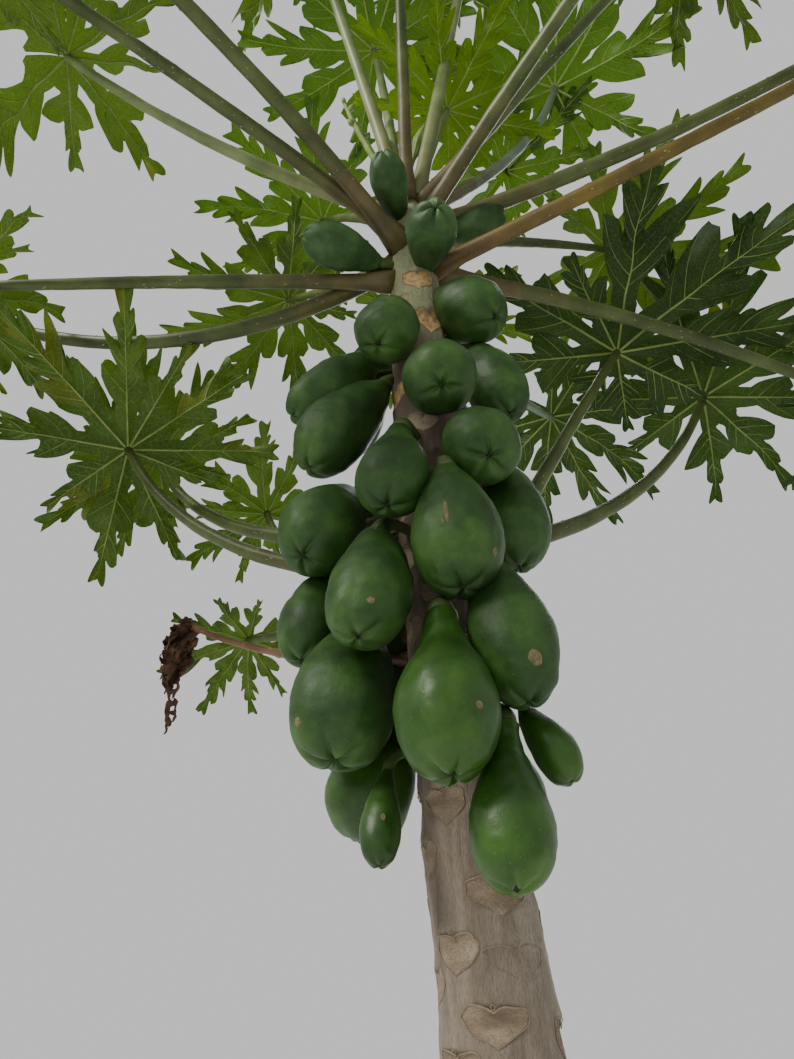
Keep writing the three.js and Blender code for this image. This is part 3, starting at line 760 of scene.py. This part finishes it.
def build_stalks():
    heap, warts = Heap(), Heap()
    turn = circle(STALK_SIDES)
    for number, row in enumerate([*LEAVES, WILTED_STALK], 1):
        path = stalk_path(row)
        length = row[4]
        along = np.concatenate([[0], np.cumsum(np.linalg.norm(np.diff(path, axis=0), axis=1))])
        slim = min(1, STALK_SLIMMEST + (1 - STALK_SLIMMEST) * length / STALK_FULL_LENGTH)
        body = (STALK_ROOT + (STALK_END - STALK_ROOT) * along / along[-1]) / 2
        slim *= WILTED_SHARE if number > len(LEAVES) else 1
        radii = slim * (body + (STALK_BASE - STALK_ROOT) / 2 * hump(along / STALK_FLARE_REACH))
        grid = rings(path, radii, STALK_SIDES, UPWARDS)
        spokes = grid - path[:, None]
        grid = path[:, None] + spokes * (1 + STALK_RIDGES * cos(3 * turn + number))[:, None]
        grid += unit(spokes) * (STALK_WAVES[0] * wobble(grid, STALK_WAVES[1], number))[..., None]
        tint = STALK_TINTS.get(number, "olive")
        first = list(STALK).index(tint + "_0")
        step = np.clip(along / TINT_STEP - 0.7 + 0.4 * sin(along / 9), 0, STALK_BASES).astype(int)
        step = np.concatenate([step[:1], step])
        heap.add(capped(grid), kinds=np.repeat(first + step[:, None], STALK_SIDES, 1))
        count = int(length / WART_GAP.get(tint, PLAIN_WART_GAP))
        where = dice.uniform(0.1, 1, count) ** 0.8 * (len(path) - 2)
        i = where.astype(int)
        part = (where - i)[:, None]
        middle = path[i] * (1 - part) + path[i + 1] * part
        ahead = unit(path[i + 1] - path[i])
        side = unit(np.cross(ahead, dice.normal(size=(count, 3))))
        foot = middle + side * (np.interp(where, np.arange(len(radii)), radii) * 0.99)[:, None]
        size = dice.uniform(0.6, 1.2, count)
        paths = foot[:, None] + ahead[:, None] * (WART_REACH[None, :, None] * size[:, None, None])
        warts.add(rings(paths, size[:, None] * np.array([0.3, 1, 1, 0.3]), 4, side[:, None]))
    heap.piece("leaf_stalks", list(STALK.values()), "leaf")
    warts.piece("stalk_warts", [WART], "leaf")


# Leaf blades


class Blade:
    """One blade's place and bend, and the points on it."""

    def __init__(self, row, number):
        *_, span, leans_to, lean, turn = row
        self.span, self.number = span, number
        self.centre = stalk_path(row)[-1]
        coarse = row[2] - row[3] * (STALK_STEPS - 0.5) / STALK_STEPS
        ahead = direction(row[1], coarse)
        self.normal = direction(leans_to, 90 - lean)
        rib = unit(ahead - self.normal * (ahead @ self.normal))
        angle = radians(turn)
        self.rib = rib * cos(angle) + np.cross(self.normal, rib) * sin(angle)
        self.across = np.cross(self.rib, self.normal)
        self.r = r = np.random.default_rng(number + 40)
        loose = number not in SEEN_LOBES
        table = np.array(SEEN_LOBES.get(number, LOBES), float)
        count = self.count = len(table)
        self.angles = table[:, 0] + loose * r.uniform(-5, 5, count)
        self.reaches = table[:, 1] * (r.uniform(0.84, 1.03, count) if loose else 1)
        self.arch = BLADE_ARCH * r.uniform(0.5, 1.6, count)
        self.bend = r.uniform(-9, 9, count) * loose
        self.tilt = r.uniform(-0.5, 0.5, count)

    def at(self, lobe, along, slant, reach, k, side):
        """Points a part k of the way out on the slanted lines of one lobe's side."""
        lean = radians(slant - 15 * k * smooth(SINUS, 0.4, along))
        forward = along + reach * k * cos(lean)
        away = side * reach * k * sin(lean)
        distance = np.hypot(forward, away)
        angle = self.angles[lobe] + np.degrees(np.arctan2(away, forward))
        bend, arch = (np.interp(angle, self.angles, row, period=360) for row in (self.bend, self.arch))
        gap = np.abs((angle[..., None] - self.angles + 180) % 360 - 180).min(-1)
        turned = radians(angle + bend * distance**2)
        flat = np.stack([sin(turned), cos(turned)], -1) * (distance * self.span)[..., None]
        free = smooth(SINUS, 0.6, distance)
        crown = distance * sin(radians(gap))
        level = BLADE_FOLD * crown / (1 + 2.5 * crown) - arch * distance**2 + self.tilt[lobe] * away * free
        fingers = np.clip(reach * k - 0.06, 0, None)
        level = level - (DROOP[0] + DROOP[1] * sin(7 * along + 2.1 * lobe + side)) * fingers**2 * free
        ruffle = RUFFLE[0] * sin(along * RUFFLE[1] + lobe * 2 + side) * k**2 * free
        swell = SWELL[0] * wobble(flat, self.span * SWELL[1], self.number) * smooth(0, 0.5, distance)
        level = (level + ruffle + swell) * self.span
        return self.centre + flat[..., :1] * self.across + flat[..., 1:] * self.rib + level[..., None] * self.normal

    def side(self, lobe, side):
        """Where the slanted lines of a lobe's side start, how far they go, their slant, and how vein-like they are."""
        r, reach = self.r, self.reaches[lobe]
        ahead = (lobe + side) % self.count
        wedge = min(abs((self.angles[ahead] - self.angles[lobe] + 180) % 360 - 180) / 2, 44)
        back = abs(self.angles[lobe] + self.angles[ahead]) < 40 and abs(self.angles[lobe]) > 120
        hole = BACK_SINUS if back else SINUS * min(1, 0.3 + self.reaches[[lobe, ahead]].min())
        beta, slope = radians(wedge), radians(SLANT[0])
        start = hole * sin(slope - beta) / sin(slope)
        inner = np.linspace(0, start, 6)
        lines = [np.stack([inner, inner * sin(beta) / sin(slope - beta), inner * 0], -1)]
        grand = LONG_FINGERS.get(self.number, 1)
        count = 3 if reach > THREE_FINGERS_FROM * grand else 2
        origins = np.linspace(*FINGER_PLACES[count], count) * reach + r.uniform(-0.03, 0.03, count)
        sizes = np.interp(origins / reach, *FINGER_SIZES) * reach * grand * r.uniform(0.66, 1.08, count)
        sizes = np.minimum(sizes, 1.3 * grand * origins * np.tan(beta) / sin(slope - 0.2))
        first = max(start + 0.02, origins[0] - 0.13 * reach)
        notches = np.concatenate([[first], origins[1:] * 0.56 + origins[:-1] * 0.44, [FINGERS_END * reach]])
        floors = np.interp(notches / reach, *NOTCH_FLOORS) * reach
        waist = np.linspace(start, notches[0], 5)[1:-1]
        lip = hole * sin(beta) / sin(slope)
        lines.append(np.stack([waist, lip + (floors[0] - lip) * smooth(start, notches[0], waist), waist * 0], -1))
        x = np.array(FINGER_LINES)
        strength = np.where(x == MAIN_LINE, MAIN_VEIN, np.where(np.abs(x) == SIDE_LINE, SIDE_VEIN, 0))
        for origin, size, low, high, a, b in zip(origins, sizes, notches, notches[1:], floors, floors[1:]):
            spot = origin + np.where(x < 0, (origin - low) * x, (high - origin) * x)
            floor = np.where(x < 0, a, b)
            finger = np.clip(1 - np.abs(x) / FINGER_SHARE, 0, 1) ** FINGER_POINT
            lines.append(np.stack([spot, floor + (size - floor) * finger, strength], -1))
        tip = np.linspace(0, 1, 12)
        lance = floors[-1] * (1 - tip) ** 0.7 + LANCE * reach * sin(pi * tip) * (1 - tip) ** 0.5
        lines.append(np.stack([notches[-1] + tip * (reach - notches[-1]), lance, tip * 0], -1))
        along, out, vein = np.concatenate(lines).T
        slant = np.where(along <= start, SLANT[0], np.interp(along / reach, [start / reach, 0.5, 1], SLANT))
        bite = BITTEN.get(self.number, 0)
        torn = np.clip(wobble(np.stack([along * 30, along * 0 + lobe * 7 + side], -1), 6, self.number, 5), 0, 1)
        jagged = 1 + 0.025 * sin(along * 60 + lobe) * (along > start)
        return along, out * (1 - bite * torn * smooth(0.25, 0.4, along)) * jagged, slant, vein


def blade_kinds(blade, shape, lobe, side, along, base):
    """Which leaf colour each face takes, dealt out by lobe and by finger."""
    kinds = np.full(shape, BLADE_ORDER.index(base))
    share = YELLOWED.get(blade.number, 0)
    r = np.random.default_rng(blade.number * 100 + lobe * 2 + (side > 0))
    for low in YELLOW_FROM:
        if r.uniform() < share:
            kinds[(along[:-1] > low) & (along[:-1] < low + YELLOW_LENGTH)] = BLADE_ORDER.index("yellowed")
    if (blade.number, lobe) in AMBER_LOBES:
        kinds[along[:-1] > AMBER_FROM] = BLADE_ORDER.index("amber")
    return kinds


def build_blades(numbers, name):
    heap, veins = Heap(), Heap()
    outward = np.linspace(0, 1, 5)
    for number in numbers:
        blade = Blade(LEAVES[number - 1], number)
        base = LEAF_TONES.get(number, "mid")
        veined = int(base in ("young", "lit_painted"))
        thick = blade.span / SPAN_UNITS
        for lobe in range(blade.count):
            for side in (-1, 1):
                along, out, slant, vein = blade.side(lobe, side)
                grid = blade.at(lobe, along[:, None], slant[:, None], out[:, None], outward, side)[:, ::-side]
                shape = (len(along) - 1, len(outward) - 1)
                heap.add(grid, closed=False, kinds=blade_kinds(blade, shape, lobe, side, along, base))
                for strength, (width, share, points) in VEIN_SHAPES.items():
                    lines = [row[vein == strength, None] for row in (along, slant, out)]
                    paths = blade.at(lobe, *lines, np.linspace(0, share, points), side)
                    radii = thick * width * np.linspace(1, 0.35, points)
                    paths = paths - blade.normal * (radii[:, None] * 0.4)
                    veins.add(rings(paths, np.broadcast_to(radii, paths.shape[:2]), 4, blade.normal), veined)
            s = np.linspace(0, 0.97 * blade.reaches[lobe], 16)
            zero = np.zeros_like(s)
            path = blade.at(lobe, s, zero, zero, zero, 1)
            radii = thick * np.interp(s / s[-1], *RIB_WIDTHS)
            veins.add(rings(path - blade.normal * (radii[:, None] * 0.5), radii, 6, blade.normal), veined)
    nodes = [f"leaf_{number:02d}" for number in numbers]
    heap.piece(f"leaf_blades_{name}", list(BLADE.values()), "leaf", nodes)
    veins.piece(f"leaf_veins_{name}", [VEIN, PALE_VEIN], "leaf")


def build_wilted():
    """A shrivelled leaf: crumpled strips that hang from the stalk's end."""
    heap = Heap()
    top = stalk_path(WILTED_STALK)[-1]
    r = np.random.default_rng(31)
    t = np.linspace(0, 1, WILTED_GRID[0])
    for k in range(WILTED_STRIPS):
        length = r.uniform(*WILTED_LENGTHS) if k else WILTED_LONGEST
        heading = r.uniform(0, 2 * pi)
        spread = r.uniform(8, 22) * (length < 200)
        middle = np.stack([
            cos(heading) * spread * sin(t * 2.6) - 14 * t**1.5 + 5 * sin(t * 9 + k),
            sin(heading) * spread * sin(t * 2.6) + 5 * cos(t * 8 + k),
            10 + 12 * sin(t * 3) - length * t,
        ], -1)
        width = r.uniform(*WILTED_WIDTHS) * sin(pi * np.clip(t * 0.93 + 0.06, 0, 1)) ** 0.6
        width *= 1 + 0.35 * sin(t * 24 + k * 2)
        facing = heading + t * r.uniform(-4, 4)
        curl = np.linspace(-1, 1, WILTED_GRID[1]) * r.uniform(1.2, 2.2)
        side, front = level_way(facing + pi / 2)[:, None], level_way(facing)[:, None]
        fold = side * sin(curl)[:, None] + front * (cos(curl) - 0.6)[:, None]
        grid = middle[:, None] + width[:, None, None] * fold * 0.62
        crumple, size = WILTED_CRUMPLE
        grid += crumple * np.stack([wobble(grid, size, k * 3 + j, 7) for j in range(3)], -1)
        keep = wobble(grid[:-1, :-1], WILTED_HOLES[0], k + 60, 8) < WILTED_HOLES[1]
        heap.add(grid + top, closed=False, keep=keep)
    heap.piece("wilted_leaf", [DEAD], "dead_leaf", ["leaf_wilted"])


# Fruit


def fruit_rows():
    """Number, place in its pair and row of every fruit, those on the far side as in the solids."""
    for number, row in enumerate(FRUIT, 1):
        yield number, 0, row
    for i, (left, right, height) in enumerate(FAR_PAIRS):
        for j, around in enumerate((left, right)):
            yield FAR_FIRST + i, j, (around, height, 142, around, 66, 128 - 4 * i, 176 - 4 * i, 0.4)


def fruit_outline(width, neck, t):
    """A fruit's radius along its length, between a plump profile and one drawn out to a neck."""
    squares = [between([(a, b * b) for a, b in table], t) for table in (PLUMP, DRAWN_OUT)]
    plump, drawn = (np.sqrt(np.maximum(square, 0)) for square in squares)
    return width / 2 * (plump * (1 - neck) + drawn * neck)


def fruit_grid(row, number, across, down):
    """A fruit's skin from its neck to its blossom end, with ridges and a five-rayed star."""
    around, height, out, heading, dip, width, length, neck = row
    r = np.random.default_rng(number + 300)
    towards = direction(heading, -dip)
    start = stem_axis(height) + direction(around, 0) * out - towards * length / 2
    t = np.concatenate([[0], (1 - cos(np.linspace(0, pi, down))) / 2])
    radius = fruit_outline(width, neck, t)
    radius[0] = 0
    side = unit(np.cross(towards, (0.1, 0.2, 1)))
    over = np.cross(towards, side)
    spin = r.uniform(0, 1.2)
    turn = circle(across)
    spoke = side * cos(turn)[:, None] + over * sin(turn)[:, None]
    bow = direction(around, 0) * (BOW * length * r.uniform(-1, 1)) * sin(pi * t)[:, None]
    middle = start + towards * (t * length)[:, None] + bow
    skin = middle[:, None] + spoke * radius[:, None, None]
    normal = unit(np.cross(np.roll(skin, -1, 1) - np.roll(skin, 1, 1), np.gradient(skin, axis=0)))
    normal[0], normal[-1] = -towards, towards
    strength = RIBBED.get(number, PLAIN_RIBS)
    gap = np.abs(((turn - spin) * 5 / (2 * pi) + 0.5) % 1 - 0.5) * 2 * pi / 5
    inwards = gap[None] * radius[:, None]
    star = width * (0.3 + 0.1 * min(strength, 1))
    near_end = (t > 0.5)[:, None] * np.clip(1 - radius[:, None] / star, 0, 1) ** 0.7
    crease = CREASE_DEPTH * width * (0.7 + strength) * near_end * (hump(inwards / 3.2) + 0.6 * hump(inwards / 9))
    ridges = -RIDGE_HEIGHT * width * strength * cos(5 * (turn - spin))[None] * sin(pi * t)[:, None] ** 0.5
    pit = PIT_DEPTH * width * hump(radius[:, None] / (0.07 * width)) * (t > 0.5)[:, None]
    bulge = FRUIT_SWELL[0] * width * wobble(skin, width * FRUIT_SWELL[1], number + 500)
    bulge = bulge + FRUIT_DIMPLE[0] * width * wobble(skin, FRUIT_DIMPLE[1], number + 600, 8)
    skin = skin + normal * (ridges + bulge - crease - pit)[..., None]
    skin[0], skin[-1] = skin[0].mean(0), skin[-1].mean(0)
    return skin, normal, towards, start


def fruit_stalk(root, start, towards, row):
    """A stalk that leaves the stem and flares into the fruit's neck."""
    width, length, neck = row[5:]
    reach = np.linalg.norm(start - root)
    u = np.linspace(0, 1, 12)[:, None]
    knee = start - towards * min(0.5 * reach, STALK_KNEE)
    path = root * (1 - u) ** 2 + 2 * knee * u * (1 - u) + start * u**2
    inside = start + towards * np.array([0.04, 0.09])[:, None] * length
    full = fruit_outline(width, neck, 0.0)
    slim = min(FRUIT_STALK_RADIUS, 0.9 * full)
    radii = slim + (0.97 * full - slim) * smooth(0.45, 1, u[:, 0]) + 2.5 * hump(u[:, 0] / 0.12)
    tube = rings(np.concatenate([path, inside]), np.append(radii, [0.8 * full, 0.4 * full]), 12, (0.2, 0.1, 1))
    return tube + 0.5 * wobble(tube, 14, row[1])[..., None] * (0.3, 0.5, 0.2)


def scab(skin, normal, spot, size, long):
    """A corky disc that lies on a fruit's skin at a point of its grid."""
    i, j = spot
    rows = np.linalg.norm(skin[i + 1, j] - skin[i - 1, j]) / 2
    columns = np.linalg.norm(skin[i, (j + 1) % skin.shape[1]] - skin[i, j])
    turn = circle(SCAB_ROUND)
    edge = size * (1 + 0.07 * sin(2 * turn + i) + 0.05 * sin(5 * turn + j))
    share, proud = np.array(SCAB_RINGS)[:, None], np.array(SCAB_PROUD)[:, None]
    a = np.clip(i + long * share * edge * cos(turn) / rows, 1, len(skin) - 2)
    b = j + share * edge * sin(turn) / columns
    low, left = np.floor(a).astype(int), np.floor(b).astype(int)
    p, q = (a - low)[..., None], (b - left)[..., None]
    left, right = left % skin.shape[1], (left + 1) % skin.shape[1]

    def at(grid):
        above, below = (grid[row, left] * (1 - q) + grid[row, right] * q for row in (low, low + 1))
        return above * (1 - p) + below * p

    return at(skin) + unit(at(normal)) * proud[..., None]


def build_fruit():
    heap, ends, scabs, stalks, far = Heap(), Heap(), Heap(), Heap(), Heap()
    grids = {}
    for number, j, row in fruit_rows():
        hidden = number >= FAR_FIRST
        _, height, _, _, dip, width, length, _ = row
        root_height = height + sin(radians(dip)) * length / 2 + ROOT_ABOVE
        root = stem_axis(root_height)
        if hidden:
            root = root + direction(FAR_ROOT, 0) * stem_radius(root_height)
        skin, normal, towards, start = fruit_grid(row, number + 50 * j, *(FAR_GRID if hidden else NEAR_GRID))
        (far if hidden else heap).add(skin, int(height <= UPPER_FROM) + int(height < GREENEST))
        grids[number] = skin, normal
        size = BLOSSOM_SIZE * width
        path = skin[-1, 0] + towards * np.array([-1.2, 0.2, 1.0, 1.3])[:, None] * size * 0.5
        nub = rings(path, size * np.array([1.1, 1.0, 0.6, 0.1]), 10, (0.3, 0.2, 1))
        nub += 0.3 * size * (wobble(nub, 5, number)[..., None] * towards)
        ends.add(nub)
        stalks.add(fruit_stalk(root, start, towards, row))
    for number, u, v, size, long in SCABS:
        skin, normal = grids[number]
        seen = ((EYE - skin) * normal).sum(-1) > 0
        miss = np.linalg.norm(pixel_of(skin) - (u, v), axis=-1) + 1e4 * ~seen
        spot = np.unravel_index(miss[2:-2].argmin(), miss[2:-2].shape)
        scabs.add(scab(skin, normal, (spot[0] + 2, spot[1]), size, long))
    heap.piece("fruit", FRUIT_SKINS, "fruit", [f"fruit_{i:02d}" for i in range(1, len(FRUIT) + 1)])
    far.piece("fruit_behind", FRUIT_SKINS, "fruit", [f"fruit_pair_{i:02d}" for i in range(1, len(FAR_PAIRS) + 1)])
    ends.piece("fruit_blossom_ends", [BLOSSOM_END], "fruit")
    scabs.piece("fruit_scabs", [SCAB], "fruit")
    stalks.piece("fruit_stalks", [FRUIT_STALK], "fruit")


def build_tip():
    """The bud, folded young leaves and one flower stalk with its buds."""
    heap = Heap()
    foot = stem_axis(STEM_HEIGHT)

    def column(points, radii, sides, pleats, steps=26):
        places = range(len(points))
        at = np.linspace(0, places[-1], steps)
        path = np.stack([np.interp(at, places, row) for row in zip(*points)], -1)
        grid = rings(path, np.interp(at, places, radii), sides, (0.1, 1, 0.2))
        return path[:, None] + (grid - path[:, None]) * (1 + pleats * cos(sides / 3 * circle(sides)))[:, None]

    levels, radii = zip(*BUD_RINGS)
    up = [foot + np.array([-0.06 * z, 0, z]) for z in levels]
    heap.add(capped(column(up, radii, 18, 0.06)))
    shares, radii = zip(*FOLDED_RINGS)
    for heading, rise, length in FOLDED_LEAVES:
        base = foot + np.array([-1.3, 0, 22])
        points = [base + direction(heading, rise) * length * t for t in shares]
        heap.add(capped(column(points, radii, 24, 0.14, 40)))
    heap.add(capped(column(FLOWER_PATH, FLOWER_RADII, 12, 0.08)))
    for share, heading, size in FLOWER_BUDS:
        point = np.array([np.interp(share * 3, range(4), row) for row in zip(*FLOWER_PATH)])
        out = direction(heading, 35)
        path = point + out * np.array([0, 4, 8, 14, 19, 22])[:, None] * size / 7
        heap.add(capped(rings(path, size * np.array([0.25, 0.6, 1, 0.95, 0.5, 0.1]), 10, (0.1, 0.1, 1))))
    heap.piece("growing_point", [SHOOT], "shoot", ["growing_tip"])


# Camera, pieces, floor and light

camera = placed("camera", bpy.data.cameras.new("camera"))
camera.data.sensor_width = SENSOR
camera.data.lens = SENSOR * FOCAL / PHOTO_HEIGHT
camera.location = EYE * MM
camera.rotation_euler = (radians(90 + PITCH), 0, 0)
bpy.context.scene.camera = camera

build_stem()
build_stalks()
half = len(LEAVES) // 2
build_blades(range(1, half + 1), "near")
build_blades(range(half + 1, len(LEAVES) + 1), "far")
build_wilted()
build_fruit()
build_tip()

floor_mesh = bpy.data.meshes.new("floor")
corners = [(x * FLOOR_REACH, y * FLOOR_REACH, 0) for x, y in ((-1, -1), (1, -1), (1, 1), (-1, 1))]
floor_mesh.from_pydata(corners, [], [(0, 1, 2, 3)])
floor_skin, add, join = shader("floor")
join(add("BsdfPrincipled", Roughness=0.9, Base_Color=rgb(*FLOOR_COLOUR)), "BSDF", add("OutputMaterial"), "Surface")
floor_mesh.materials.append(floor_skin)
floor = placed("floor", floor_mesh)

world = bpy.data.worlds.new("world")
world.use_nodes = True
background = world.node_tree.nodes["Background"]
background.inputs["Color"].default_value = rgb(*WORLD_COLOUR)
background.inputs["Strength"].default_value = WORLD_STRENGTH
bpy.context.scene.world = world

for name, (place, aim, size, watts, colour) in LAMPS.items():
    light = bpy.data.lights.new(name, "AREA")
    light.size, light.energy, light.color = size, watts, colour
    x, y, z = np.subtract(aim, place)
    holder = placed(name, light)
    holder.location, holder.rotation_euler = place, (np.arctan2(np.hypot(x, y), -z), 0, np.arctan2(-x, y))
